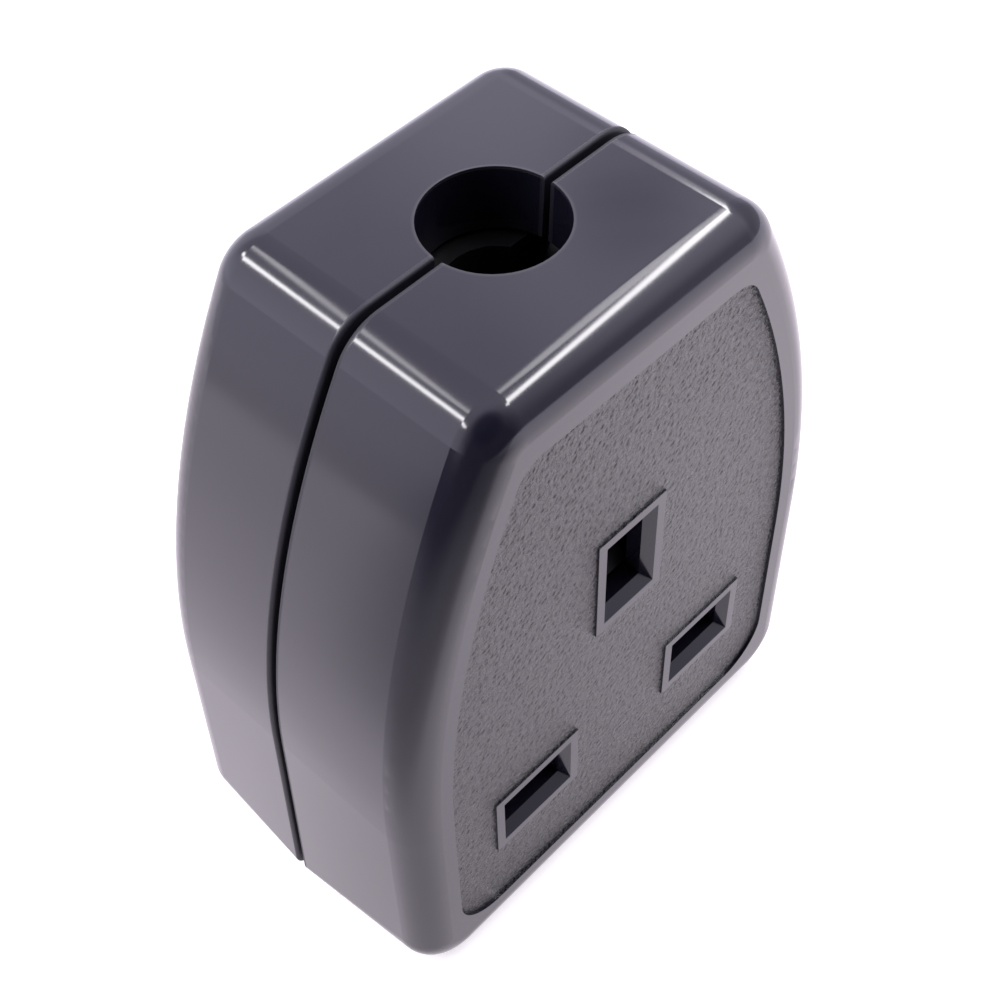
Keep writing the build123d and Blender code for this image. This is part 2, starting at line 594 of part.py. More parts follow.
def terminal_screws():
    """Clamp screws, their tips just inside the wire holes"""
    screws = []
    for _, x, block_z, web_y in terminals():
        seat = web_y + STRIP / 2
        grip = STRIP + TERMINAL_DEPTH / 2 - WIRE_RADIUS / 2
        z = block_z + CLAMP_SCREW_RISE
        size = (TERMINAL_SCREW_RADIUS, grip, TERMINAL_HEAD_RADIUS, TERMINAL_HEAD)
        screws.append(slotted_screw(x, z, seat, *size))
    return Compound(screws)


def contact_rivets():
    """Rivets through each tail into its terminal"""
    rivets = []
    for _, x, block_z, web_y in terminals():
        seat = web_y + STRIP / 2
        z = block_z + RIVET_RISE
        head = rod(x, z, RIVET_HEAD_RADIUS, seat, seat + RIVET_HEAD)
        rivets.append(head + rod(x, z, RIVET_RADIUS, seat - STRIP - RIVET_DEPTH, seat))
    return Compound(rivets)


def carrier_screws():
    """Screws that hold the carrier to its posts"""
    size = (CARRIER_SCREW_RADIUS, CARRIER_THICK + CARRIER_SCREW_GRIP, CARRIER_HEAD_RADIUS, CARRIER_HEAD)
    return Compound([slotted_screw(s * POST_X, POST_Z, CARRIER_BACK_Y, *size) for s in SIDES])


def cord_clamp():
    """Arch over the cord with an ear at each side"""
    half = CLAMP_SCREW_X + CLAMP_EAR
    seat, back = CLAMP_SEAT_Y, CLAMP_SEAT_Y + CLAMP_THICK
    clamp = block(0, CLAMP_Z, half, CLAMP_HEIGHT / 2, seat, back)
    clamp = fillet(clamp.edges().filter_by(Axis.Y), CLAMP_THICK)
    arch = Pos(0, HOLE_Y, CLAMP_Z) * Cylinder(CLAMP_BORE + CLAMP_THICK, CLAMP_HEIGHT)
    front = block(0, CLAMP_Z, half, CLAMP_HEIGHT, FACE_Y, seat)
    clamp = clamp + arch - front - Pos(0, HOLE_Y, CLAMP_Z) * Cylinder(CLAMP_BORE, 2 * CLAMP_HEIGHT)
    for side in SIDES:
        clamp -= rod(side * CLAMP_SCREW_X, CLAMP_Z, CLAMP_SCREW_RADIUS + SCREW_FIT, FACE_Y, FAR)
    return clamp


def cord_clamp_screws():
    """Screws of the cord clamp"""
    size = (CLAMP_SCREW_RADIUS, CLAMP_THICK + CLAMP_SCREW_GRIP, CLAMP_HEAD_RADIUS, CLAMP_HEAD)
    seat = CLAMP_SEAT_Y + CLAMP_THICK
    return Compound([slotted_screw(s * CLAMP_SCREW_X, CLAMP_Z, seat, *size) for s in SIDES])


def case_screws():
    """Long screws from the back into the inserts"""
    start, _ = insert_span()
    seat = case_head_y()
    size = (CASE_SCREW_RADIUS, seat - start, CASE_HEAD_RADIUS, CASE_HEAD)
    return Compound([slotted_screw(s * CASE_SCREW_X, CASE_SCREW_Z, seat, *size) for s in SIDES])


def case_inserts():
    """Threaded brass inserts with a holding groove"""
    start, end = insert_span()
    middle = (start + end) / 2
    inserts = []
    for side in SIDES:
        x, z = side * CASE_SCREW_X, CASE_SCREW_Z
        insert = rod(x, z, INSERT_RADIUS, start, end)
        waist = rod(x, z, INSERT_RADIUS, middle - INSERT_GROOVE, middle + INSERT_GROOVE)
        waist -= rod(x, z, INSERT_RADIUS - INSERT_GROOVE / 2, start, end)
        inserts.append(insert - waist - rod(x, z, CASE_SCREW_RADIUS + SCREW_FIT, start, end))
    return Compound(inserts)


def pieces():
    """Every piece of the socket by its name"""
    made = {
        "front_housing": front_housing(),
        "rear_cover": rear_cover(),
        "contact_carrier": contact_carrier(),
        "shutter": shutter(),
        "shutter_spring": shutter_spring(),
        "line_contact": line_contact(),
        "earth_contact": earth_contact(),
        "terminal_screws": terminal_screws(),
        "contact_rivets": contact_rivets(),
        "carrier_screws": carrier_screws(),
        "cord_clamp": cord_clamp(),
        "cord_clamp_screws": cord_clamp_screws(),
        "case_screws": case_screws(),
        "case_inserts": case_inserts(),
    }
    for name, x, block_z, web_y in terminals():
        made[name + "_terminal"] = terminal(x, block_z, web_y)
    made["line_jaw_clip"] = Pos(LIVE_X, 0, PIN_LINE_Z) * jaw_clip(LIVE_LEAF, LIVE_JAW_Y)
    for kind in ("contact", "jaw_clip"):
        made["neutral_" + kind] = mirror(made["line_" + kind], about=Plane.YZ)
    made["earth_jaw_clip"] = Pos(0, 0, EARTH_Z) * Rot(0, -90, 0) * jaw_clip(EARTH_LEAF, EARTH_JAW_Y)
    return made


for name, piece in pieces().items():
    export_step(piece, f"parts/{name}.step")
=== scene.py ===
"""Finishes, stage and camera for a rewireable trailing socket moulded in glossy black plastic."""

import json
import math

import bmesh
import bpy
from bpy.props import FloatProperty, FloatVectorProperty, PointerProperty
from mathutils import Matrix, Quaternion, Vector

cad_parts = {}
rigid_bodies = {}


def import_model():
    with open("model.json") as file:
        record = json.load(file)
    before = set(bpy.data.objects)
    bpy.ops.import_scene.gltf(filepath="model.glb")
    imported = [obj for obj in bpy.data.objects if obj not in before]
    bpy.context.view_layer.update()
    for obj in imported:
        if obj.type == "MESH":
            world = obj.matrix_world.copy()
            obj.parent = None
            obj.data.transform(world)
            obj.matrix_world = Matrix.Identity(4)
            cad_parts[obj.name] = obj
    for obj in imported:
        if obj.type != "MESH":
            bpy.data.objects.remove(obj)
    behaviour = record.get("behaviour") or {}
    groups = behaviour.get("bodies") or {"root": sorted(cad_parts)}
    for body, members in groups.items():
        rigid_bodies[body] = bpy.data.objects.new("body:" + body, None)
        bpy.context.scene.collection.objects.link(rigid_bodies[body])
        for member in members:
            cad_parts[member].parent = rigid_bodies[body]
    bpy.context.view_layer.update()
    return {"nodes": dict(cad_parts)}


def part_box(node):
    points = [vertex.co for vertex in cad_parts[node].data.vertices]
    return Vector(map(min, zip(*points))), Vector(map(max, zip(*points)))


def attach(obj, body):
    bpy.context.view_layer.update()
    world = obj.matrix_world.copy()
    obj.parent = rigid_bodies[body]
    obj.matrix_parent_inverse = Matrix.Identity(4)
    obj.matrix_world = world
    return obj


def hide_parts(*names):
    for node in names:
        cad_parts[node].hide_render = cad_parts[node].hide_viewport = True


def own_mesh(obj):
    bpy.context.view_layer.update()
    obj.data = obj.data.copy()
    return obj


for left_over in list(bpy.data.objects):
    bpy.data.objects.remove(left_over)
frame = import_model()

bl_info = {
    "name": "Trailing socket",
    "version": (1, 0, 0),
    "blender": (4, 5, 0),
    "location": "3D View > Sidebar > Socket",
    "description": "Finishes, stage and camera for a rewireable trailing socket",
    "category": "Object",
}

MM = 0.001
FACE_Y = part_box("front_housing")[0].y
TOP_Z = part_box("front_housing")[1].z
# The parting plane leans back from the middle of the cord hole at the top towards the foot.
PARTING_Y, PARTING_LEAN = -1.358 * MM, 3.2 * MM
PARTING_WAY = Vector((0, TOP_Z, PARTING_LEAN)).normalized()
PARTING_AT = PARTING_WAY.dot(Vector((0, PARTING_Y, TOP_Z)))
# The dull lips of the groove end this far from the plane.
LIP_FROM, LIP_TO = 0.6 * MM, 0.8 * MM
# The cord hole, the pale ring of painted highlight round its upper edge and the share of the ring that is
# palest.
HOLE_RADIUS, RIM_WIDTH, RIM_FULL = 5.7 * MM, 0.28 * MM, 0.3

CASE_NODES = ("front_housing", "rear_cover")
INNER_NODES = ("contact_carrier", "cord_clamp")
CONTACT_NODES = ("line_contact", "neutral_contact", "earth_contact")
TURNED_NODES = ("line_terminal", "neutral_terminal", "earth_terminal", "contact_rivets", "case_inserts")
SCREW_NODES = ("terminal_screws", "carrier_screws", "cord_clamp_screws", "case_screws")
CLIP_NODES = ("line_jaw_clip", "neutral_jaw_clip", "earth_jaw_clip")
COIL_NODE, COIL_JOINT = "shutter_spring", "shutter_slide"


def size(name, description, default):
    """A length property in metres"""
    return FloatProperty(
        name=name, description=description, default=default,
        min=0, precision=5, subtype="DISTANCE", unit="LENGTH",
    )


def share(name, description, default):
    """A property between nought and one"""
    return FloatProperty(
        name=name, description=description, default=default, min=0, max=1, subtype="FACTOR"
    )


def level(name, description, default):
    """A brightness or strength property"""
    return FloatProperty(name=name, description=description, default=default, min=0)


def colour(name, description, default):
    """A linear colour property"""
    return FloatVectorProperty(
        name=name, description=description, default=default, min=0, soft_max=1, size=3, subtype="COLOR"
    )


def place(name, description, default):
    """A point in metres"""
    return FloatVectorProperty(
        name=name, description=description, default=default, size=3, subtype="TRANSLATION", unit="LENGTH"
    )


class CaseFinish(bpy.types.PropertyGroup):
    """Gloss black moulding of the two case halves"""

    black: colour("Black", "Colour of the moulded plastic", (0.0068, 0.0066, 0.0122))
    gloss: share("Gloss roughness", "Roughness of the polished faces", 0.12)
    lip_roughness: share("Lip roughness", "Roughness of the lips of the parting groove", 0.6)
    # Painted highlight round the cord hole's upper edge, standing in for the light on its rounded lip.
    rim_highlight: colour("Rim", "Scuffed edge of the cord hole", (0.03, 0.029, 0.036))
    panel: colour("Panel", "Colour of the grained panel", (0.0085, 0.008, 0.0087))
    panel_roughness: share("Panel roughness", "Roughness of the grained panel", 0.3)
    panel_depth: size("Panel depth", "How far the grained panel lies behind the face", 0.3 * MM)
    grain_size: size("Grain size", "Width of one spark eroded pit", 0.5 * MM)
    grain_height: size("Grain height", "Depth of the spark eroded pits", 0.19 * MM)
    peel_size: size("Peel size", "Width of the faint waves in the gloss", 2.4 * MM)
    peel_height: size("Peel height", "Height of the faint waves in the gloss", 0.0012 * MM)
    speck_size: size("Speck size", "Radius of a dust speck", 0.13 * MM)
    speck_share: share("Speck share", "Share of the places that hold a speck", 0.2)


class InsideFinish(bpy.types.PropertyGroup):
    """Plastics and metals inside the case"""

    shutter: colour("Shutter", "Satin black of the safety shutter", (0.012, 0.012, 0.0135))
    carrier: colour("Carrier", "Dark moulding of the carrier and cord clamp", (0.006, 0.006, 0.0065))
    strip_brass: colour("Strip brass", "Rolled brass of the contacts", (0.74, 0.55, 0.24))
    turned_brass: colour("Turned brass", "Machined brass of terminals, rivets and inserts", (0.7, 0.5, 0.2))
    plating: colour("Plating", "Zinc plating of the screws", (0.62, 0.63, 0.64))
    spring: colour("Spring steel", "Drawn wire and strip", (0.42, 0.42, 0.44))


class StageLook(bpy.types.PropertyGroup):
    """Floor, light and camera"""

    floor: colour("Floor", "Pale floor", (0.86, 0.85, 0.86))
    floor_glow: level("Floor glow", "Light that shines through the floor", 0.6)
    sky: level("Sky", "Brightness of the room above", 1.0)
    lamp: level("Lamps", "Brightness of the overhead strips", 22.0)
    card: level("Card", "Brightness of the reflecting card", 1.0)
    lens: FloatProperty(
        name="Lens", description="Focal length on a 36 mm sensor", default=60.85, subtype="DISTANCE_CAMERA"
    )
    eye: place("Eye", "Where the camera stands", (-64.36 * MM, -65.59 * MM, 149.22 * MM))
    aim: place("Aim", "The point in the middle of the picture", (1.1 * MM, 0.12 * MM, 33.6 * MM))
    roll: FloatProperty(
        name="Roll", description="Turn about the line of sight", default=math.radians(-2.0), subtype="ANGLE"
    )


def node(tree, kind, values=None, **settings):
    """Adds a node, with its inputs linked or set by name or number"""
    made = tree.nodes.new(kind)
    for name, value in settings.items():
        setattr(made, name, value)
    for key, value in (values or {}).items():
        if isinstance(value, bpy.types.NodeSocket):
            tree.links.new(value, made.inputs[key])
        else:
            made.inputs[key].default_value = value
    return made


def maths(tree, operation, *values):
    """The result of one sum"""
    return node(tree, "ShaderNodeMath", dict(enumerate(values)), operation=operation).outputs[0]


def ranged(tree, value, low, high, to_low, to_high, kind="LINEAR"):
    """A value moved from one range to another, without leaving it"""
    values = {"Value": value, "From Min": low, "From Max": high, "To Min": to_low, "To Max": to_high}
    return node(tree, "ShaderNodeMapRange", values, clamp=True, interpolation_type=kind).outputs[0]


def measured(tree, operation, *points):
    """A length, distance or product of points"""
    return node(tree, "ShaderNodeVectorMath", dict(enumerate(points)), operation=operation).outputs["Value"]


def along(tree, point, way):
    """How far a point lies in a direction"""
    return measured(tree, "DOT_PRODUCT", point, way)


def blended(tree, factor, first, second):
    """Two values mixed by a mask or a share"""
    return node(tree, "ShaderNodeMix", {0: factor, 2: first, 3: second}).outputs[0]


def times(factor, row):
    """Each part of a colour, or of a row of shares, times a factor"""
    return [factor * part for part in row]


def stepped(tree, value, stops, unit=1.0):
    """A brightness read from stops along a value"""
    first, last = stops[0][0], stops[-1][0]
    made = node(tree, "ShaderNodeValToRGB", {0: ranged(tree, value, first * unit, last * unit, 0.0, 1.0)})
    points = made.color_ramp.elements
    while len(points) < len(stops):
        points.new(0.5)
    for point, (at, bright) in zip(points, stops):
        point.position = (at - first) / (last - first)
        point.color = (bright, bright, bright, 1)
    return made.outputs[0]


def mixed(tree, factor, first, second):
    """Two colours mixed by a mask"""
    made = node(tree, "ShaderNodeMix", {0: factor}, data_type="RGBA")
    for number, value in ((6, first), (7, second)):
        if isinstance(value, bpy.types.NodeSocket):
            tree.links.new(value, made.inputs[number])
        else:
            made.inputs[number].default_value = (*value, 1)
    return made.outputs[2]


def new_group(name, inputs, outputs):
    """An empty shader group with its sockets, its input sockets and its output sockets"""
    group = bpy.data.node_groups.new(name, "ShaderNodeTree")
    for socket, kind in inputs.items():
        group.interface.new_socket(socket, in_out="INPUT", socket_type=kind)
    for socket in outputs:
        group.interface.new_socket(socket, in_out="OUTPUT", socket_type="NodeSocketFloat")
    start = group.nodes.new("NodeGroupInput")
    end = group.nodes.new("NodeGroupOutput")
    return group, start.outputs, end.inputs


def placed(tree, group, values):
    """A group placed in a material with its own values"""
    return node(tree, "ShaderNodeGroup", values, node_tree=group).outputs


def drawn_out(tree, point, shares):
    """A point with its parts scaled, so that a pattern is drawn out along the axis with the smallest share"""
    return node(tree, "ShaderNodeMapping", {"Vector": point, "Scale": shares}).outputs[0]


def scaled(tree, point, size_of):
    """A point counted in steps of a size"""
    steps = maths(tree, "DIVIDE", 1.0, size_of)
    return node(tree, "ShaderNodeVectorMath", {0: point, "Scale": steps}, operation="SCALE").outputs[0]


# Where most of a noise lies, and how the groups draw out, soften and share their patterns.
NOISE_LOW, NOISE_HIGH = 0.3, 0.7
FLOW_SHARES, LINE_SHARES = (1.0, 1.0, 0.3), (1.0, 0.06, 1.0)
BOWL_FROM, BOWL_TO, BOWL_SHARE = 0.08, 0.5, 0.45
TONE_FROM, TONE_TO = 0.3, 0.8
SPECK_LEAST, SPECK_MOST = 0.4, 1.2
TARNISH_FROM, TARNISH_TO = 0.42, 0.7


def varied(tree, noise, middle, shares):
    """A value that a noise changes round its middle, between two shares of it"""
    return ranged(tree, noise, NOISE_LOW, NOISE_HIGH, *times(middle, shares))


def moulded_skin():
    """Faint waves in the gloss, and slow streaks where the melt ran"""
    sockets = {name: "NodeSocketFloat" for name in ("Peel Size", "Flow Size")}
    sockets = {"Position": "NodeSocketVector", **sockets}
    group, given, result = new_group("moulded_skin", sockets, ("Peel", "Flow"))
    peel = {"Vector": scaled(group, given["Position"], given["Peel Size"]), "Scale": 1.0, "Detail": 1.5}
    group.links.new(node(group, "ShaderNodeTexNoise", peel).outputs[0], result["Peel"])
    drawn = drawn_out(group, given["Position"], FLOW_SHARES)
    flow = {"Vector": scaled(group, drawn, given["Flow Size"]), "Scale": 1.0}
    flow.update({"Detail": 4.0, "Distortion": 0.8})
    group.links.new(node(group, "ShaderNodeTexNoise", flow).outputs[0], result["Flow"])
    return group


def spark_grain():
    """Pits of a spark eroded mould, fine ones in coarse ones, and a mask that is high on the ridges and low
    in the pits
    """
    sockets = {"Position": "NodeSocketVector", "Grain Size": "NodeSocketFloat"}
    group, given, result = new_group("spark_grain", sockets, ("Height", "Ridges"))
    steps = scaled(group, given["Position"], given["Grain Size"])
    rough = {"Vector": steps, "Scale": 1.0, "Detail": 3.0, "Roughness": 0.65, "Distortion": 0.3}
    rough = node(group, "ShaderNodeTexNoise", rough).outputs[0]
    rough = ranged(group, rough, NOISE_LOW, NOISE_HIGH, 0.0, 1.0)
    bowls = node(group, "ShaderNodeTexVoronoi", {"Vector": steps, "Scale": 0.8}).outputs["Distance"]
    bowls = ranged(group, bowls, BOWL_FROM, BOWL_TO, 0.0, 1.0, "SMOOTHSTEP")
    height = blended(group, BOWL_SHARE, rough, bowls)
    group.links.new(height, result["Height"])
    group.links.new(ranged(group, height, TONE_FROM, TONE_TO, 0.0, 1.0), result["Ridges"])
    return group


def fine_dust():
    """Rare round specks of dust, each of its own size"""
    sockets = {name: "NodeSocketFloat" for name in ("Spacing", "Speck Size", "Share")}
    group, given, result = new_group("fine_dust", {"Position": "NodeSocketVector", **sockets}, ("Speck",))
    steps = scaled(group, given["Position"], given["Spacing"])
    cells = node(group, "ShaderNodeTexVoronoi", {"Vector": steps, "Scale": 1.0}).outputs
    drawn = node(group, "ShaderNodeSeparateColor", {0: cells["Color"]}).outputs
    radius = maths(group, "DIVIDE", given["Speck Size"], given["Spacing"])
    radius = maths(group, "MULTIPLY", radius, ranged(group, drawn[1], 0.0, 1.0, SPECK_LEAST, SPECK_MOST))
    near = maths(group, "LESS_THAN", cells["Distance"], radius)
    speck = maths(group, "MULTIPLY", near, maths(group, "LESS_THAN", drawn[0], given["Share"]))
    group.links.new(speck, result["Speck"])
    return group


def worked_metal():
    """Fine lines left by rolling or turning, and patches of tarnish"""
    sockets = {name: "NodeSocketFloat" for name in ("Line Size", "Patch Size")}
    sockets = {"Position": "NodeSocketVector", **sockets}
    group, given, result = new_group("worked_metal", sockets, ("Lines", "Tarnish"))
    drawn = drawn_out(group, given["Position"], LINE_SHARES)
    lines = {"Vector": scaled(group, drawn, given["Line Size"]), "Scale": 1.0, "Detail": 3.0}
    group.links.new(node(group, "ShaderNodeTexNoise", lines).outputs[0], result["Lines"])
    patch = {"Vector": scaled(group, given["Position"], given["Patch Size"]), "Scale": 1.0, "Detail": 5.0}
    patch = node(group, "ShaderNodeTexNoise", patch).outputs[0]
    group.links.new(ranged(group, patch, TARNISH_FROM, TARNISH_TO, 0.0, 1.0), result["Tarnish"])
    return group


GROUP_MAKERS = {
    "moulded_skin": moulded_skin,
    "spark_grain": spark_grain,
    "fine_dust": fine_dust,
    "worked_metal": worked_metal,
}


def effect(name):
    """A shared shader group, built the first time it is asked for"""
    return bpy.data.node_groups.get(name) or GROUP_MAKERS[name]()


def new_material(name):
    """An empty material, its shader and the place on the piece"""
    material = bpy.data.materials.new(name)
    material.use_nodes = True
    tree = material.node_tree
    shader = tree.nodes["Principled BSDF"]
    return material, tree, shader, node(tree, "ShaderNodeTexCoord").outputs


def bumped(tree, shader, height):
    """Raises the surface by a height in metres"""
    bump = node(tree, "ShaderNodeBump", {"Height": height, "Strength": 1.0, "Distance": 1.0})
    tree.links.new(bump.outputs[0], shader.inputs["Normal"])


PLASTIC_IOR = 1.52
GLOSS_SHARES, PANEL_SHARES = (0.8, 1.2), (1.15, 0.85)
FLOW_SIZE, FLOW_LIGHTER = 14 * MM, 1.35
DUST_SPACING, DUST_TONE, DUST_ROUGHNESS = 4.5 * MM, (0.3, 0.29, 0.31), 0.7
PANEL_NEAR, PANEL_FACING = 0.06 * MM, -0.95
# The grained panel's colour is painted shade in its pits and painted light on its ridges, as shares of the
# panel colour.
PIT_SHADE, RIDGE_LIGHT = 0.1, 1.9
BORE_SLACK = 0.02 * MM


def on_sunk_panel(tree, spot, normal, look):
    """A mask of the flat panel behind the face"""
    depth = node(tree, "ShaderNodeSeparateXYZ", {0: spot}).outputs["Y"]
    facing = node(tree, "ShaderNodeSeparateXYZ", {0: normal}).outputs["Y"]
    near = maths(tree, "COMPARE", depth, FACE_Y + look.panel_depth, PANEL_NEAR)
    return maths(tree, "MULTIPLY", near, maths(tree, "LESS_THAN", facing, PANEL_FACING))


def on_rim_highlight(tree, spot):
    """A mask of the narrow ring round the cord hole's upper edge, where a highlight is painted"""
    from_axis = measured(tree, "DISTANCE", spot, (0, PARTING_Y, TOP_Z))
    ring = ranged(tree, from_axis, HOLE_RADIUS + RIM_FULL * RIM_WIDTH, HOLE_RADIUS + RIM_WIDTH, 1.0, 0.0)
    outside = maths(tree, "GREATER_THAN", from_axis, HOLE_RADIUS - BORE_SLACK)
    ring = maths(tree, "MULTIPLY", ring, outside)
    on_top = maths(tree, "GREATER_THAN", along(tree, spot, (0, 0, 1)), TOP_Z - RIM_WIDTH)
    return maths(tree, "MULTIPLY", ring, on_top)


def on_parting_lips(tree, spot):
    """A mask of the groove between the halves and its two lips"""
    off = maths(tree, "SUBTRACT", along(tree, spot, PARTING_WAY), PARTING_AT)
    return ranged(tree, maths(tree, "ABSOLUTE", off), LIP_FROM, LIP_TO, 1.0, 0.0)


def gloss_moulding(look):
    """Polished black plastic, grained where the front panel lies behind the face"""
    material, tree, shader, where = new_material("gloss_moulding")
    spot = where["Object"]
    skin = {"Position": spot, "Peel Size": look.peel_size, "Flow Size": FLOW_SIZE}
    skin = placed(tree, effect("moulded_skin"), skin)
    grain = placed(tree, effect("spark_grain"), {"Position": spot, "Grain Size": look.grain_size})
    dust = {"Spacing": DUST_SPACING, "Speck Size": look.speck_size, "Share": look.speck_share}
    dust = placed(tree, effect("fine_dust"), {"Position": spot, **dust})
    on_panel = on_sunk_panel(tree, spot, where["Normal"], look)
    black = mixed(tree, skin["Flow"], look.black, times(FLOW_LIGHTER, look.black))
    # Painted highlight on the ring round the cord hole.
    black = mixed(tree, on_rim_highlight(tree, spot), black, look.rim_highlight)
    # Painted shade darkens the grain's pits and painted light brightens its ridges.
    shaded_grain = mixed(tree, grain["Ridges"], times(PIT_SHADE, look.panel), times(RIDGE_LIGHT, look.panel))
    tone = mixed(tree, on_panel, black, shaded_grain)
    tree.links.new(mixed(tree, dust["Speck"], tone, DUST_TONE), shader.inputs["Base Color"])
    polish = varied(tree, skin["Flow"], look.gloss, GLOSS_SHARES)
    polish = blended(tree, on_parting_lips(tree, spot), polish, look.lip_roughness)
    worn = ranged(tree, grain["Ridges"], 0.0, 1.0, *times(look.panel_roughness, PANEL_SHARES))
    rough = blended(tree, on_panel, polish, worn)
    rough = maths(tree, "MAXIMUM", rough, maths(tree, "MULTIPLY", dust["Speck"], DUST_ROUGHNESS))
    tree.links.new(rough, shader.inputs["Roughness"])
    waves = maths(tree, "MULTIPLY", skin["Peel"], look.peel_height)
    pits = maths(tree, "MULTIPLY", grain["Height"], look.grain_height)
    bumped(tree, shader, blended(tree, on_panel, waves, pits))
    shader.inputs["IOR"].default_value = PLASTIC_IOR
    return material


SATIN_PEEL, SATIN_FLOW, SATIN_WAVES = 0.5 * MM, 9 * MM, 0.006 * MM
SATIN_DUST = {"Spacing": 3.5 * MM, "Speck Size": 0.12 * MM, "Share": 0.08}
SATIN_DUST_TONE, SATIN_SPECULAR = (0.28, 0.27, 0.28), 0.25
SATIN_DARKER, SATIN_LIGHTER, SATIN_SHARES = 0.75, 1.3, (0.85, 1.15)
SHUTTER_ROUGHNESS, CARRIER_ROUGHNESS = 0.38, 0.5


def satin_moulding(name, tint, roughness):
    """Satin plastic of the inner mouldings"""
    material, tree, shader, where = new_material(name)
    skin = {"Position": where["Object"], "Peel Size": SATIN_PEEL, "Flow Size": SATIN_FLOW}
    skin = placed(tree, effect("moulded_skin"), skin)
    dust = placed(tree, effect("fine_dust"), {"Position": where["Object"], **SATIN_DUST})
    tone = mixed(tree, skin["Flow"], times(SATIN_DARKER, tint), times(SATIN_LIGHTER, tint))
    tree.links.new(mixed(tree, dust["Speck"], tone, SATIN_DUST_TONE), shader.inputs["Base Color"])
    rough = varied(tree, skin["Flow"], roughness, SATIN_SHARES)
    tree.links.new(rough, shader.inputs["Roughness"])
    bumped(tree, shader, maths(tree, "MULTIPLY", skin["Peel"], SATIN_WAVES))
    shader.inputs["Specular IOR Level"].default_value = SATIN_SPECULAR
    return material


# Each finish of metal: its roughness, the width of one line left by the tool and the share of tarnish.
ROLLED, TURNED = (0.26, 0.12 * MM, 0.5), (0.22, 0.2 * MM, 0.35)
PLATED, DRAWN = (0.3, 0.25 * MM, 0.3), (0.28, 0.1 * MM, 0.4)
METAL_SHARES, LINE_DEPTH = (0.8, 1.25), 0.004 * MM
TARNISH_PATCH, TARNISH_DARKER, TARNISH_ROUGHER = 3.5 * MM, 0.45, 0.2


def bare_metal(name, tint, roughness, line_size, tarnish):
    """Rolled, drawn or turned metal with a little tarnish"""
    material, tree, shader, where = new_material(name)
    marks = {"Position": where["Object"], "Line Size": line_size, "Patch Size": TARNISH_PATCH}
    marks = placed(tree, effect("worked_metal"), marks)
    dull = maths(tree, "MULTIPLY", marks["Tarnish"], tarnish)
    tree.links.new(mixed(tree, dull, tint, times(TARNISH_DARKER, tint)), shader.inputs["Base Color"])
    rough = varied(tree, marks["Lines"], roughness, METAL_SHARES)
    rough = maths(tree, "MULTIPLY_ADD", dull, TARNISH_ROUGHER, rough)
    tree.links.new(rough, shader.inputs["Roughness"])
    bumped(tree, shader, maths(tree, "MULTIPLY", marks["Lines"], LINE_DEPTH))
    shader.inputs["Metallic"].default_value = 1.0
    return material


def dress(names, material):
    """Gives the frame's pieces a material"""
    for name in names:
        for held in frame["nodes"][name].material_slots:
            held.material = material


MERGE_WITHIN, SHARP_FROM = 0.001 * MM, math.radians(40)


def merged_copy(mesh):
    """A copy of a CAD mesh with its doubles merged, smooth between its sharp edges"""
    copy = mesh.copy()
    copy.attributes.remove(copy.attributes["custom_normal"])
    work = bmesh.new()
    work.from_mesh(copy)
    bmesh.ops.remove_doubles(work, verts=work.verts, dist=MERGE_WITHIN)
    work.to_mesh(copy)
    work.free()
    copy.set_sharp_from_angle(angle=SHARP_FROM)
    return copy


def squeezed_coil(material):
    """The shutter's coil as a merged copy in the case's body, in place of the frame's piece, which is hidden
    """
    solid = frame["nodes"][COIL_NODE]
    coil = bpy.data.objects.new("shutter_coil", merged_copy(solid.data))
    bpy.context.scene.collection.objects.link(coil)
    coil.matrix_world = solid.matrix_world
    coil.data.materials.clear()
    coil.data.materials.append(material)
    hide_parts(COIL_NODE)
    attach(coil, "case")
    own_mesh(coil)


FLOOR_HALF, CARD_HALF, SHEET_LIFT = 2.0, 2.1, 0.02 * MM
WALL_SIDES, WALL_RADIUS, WALL_HEIGHT, WALL_FOOT, WALL_GLOW = 32, 1.9, 4.0, 0.01, 1.3
FLOOR_ROUGHNESS, FLOOR_SPECULAR, FLOOR_TINT = 0.8, 0.1, (1.0, 0.965, 0.975)
CLOUD_SCALE, CLOUD_DARKER = 30.0, 0.97
LIGHT_RAYS = ("diffuse", "transmission", "volume_scatter", "shadow")


def staged(name, corners, faces, material, hidden_rays=()):
    """A mesh of the stage, which some kinds of light ray pass by"""
    mesh = bpy.data.meshes.new(name)
    mesh.from_pydata(corners, [], faces)
    mesh.materials.append(material)
    prop = bpy.data.objects.new(name, mesh)
    bpy.context.scene.collection.objects.link(prop)
    for ray in hidden_rays:
        setattr(prop, "visible_" + ray, False)


def flat_sheet(name, half, z, material, hidden_rays=()):
    """A level square of the stage"""
    corners = [(-half, -half, z), (half, -half, z), (half, half, z), (-half, half, z)]
    staged(name, corners, [(0, 1, 2, 3)], material, hidden_rays)


def wall_ring(material):
    """A plain wall round the floor's edge, shown to the camera only, so that low views end in no horizon"""
    turns = [2 * math.pi * k / WALL_SIDES for k in range(WALL_SIDES)]
    ring = [(WALL_RADIUS * math.cos(t), WALL_RADIUS * math.sin(t)) for t in turns]
    corners = [(x, y, z) for x, y in ring for z in (-WALL_FOOT, WALL_HEIGHT)]
    count = len(corners)
    faces = [(k, (k + 2) % count, (k + 3) % count, k + 1) for k in range(0, count, 2)]
    staged("wall", corners, faces, material, ("glossy", *LIGHT_RAYS))


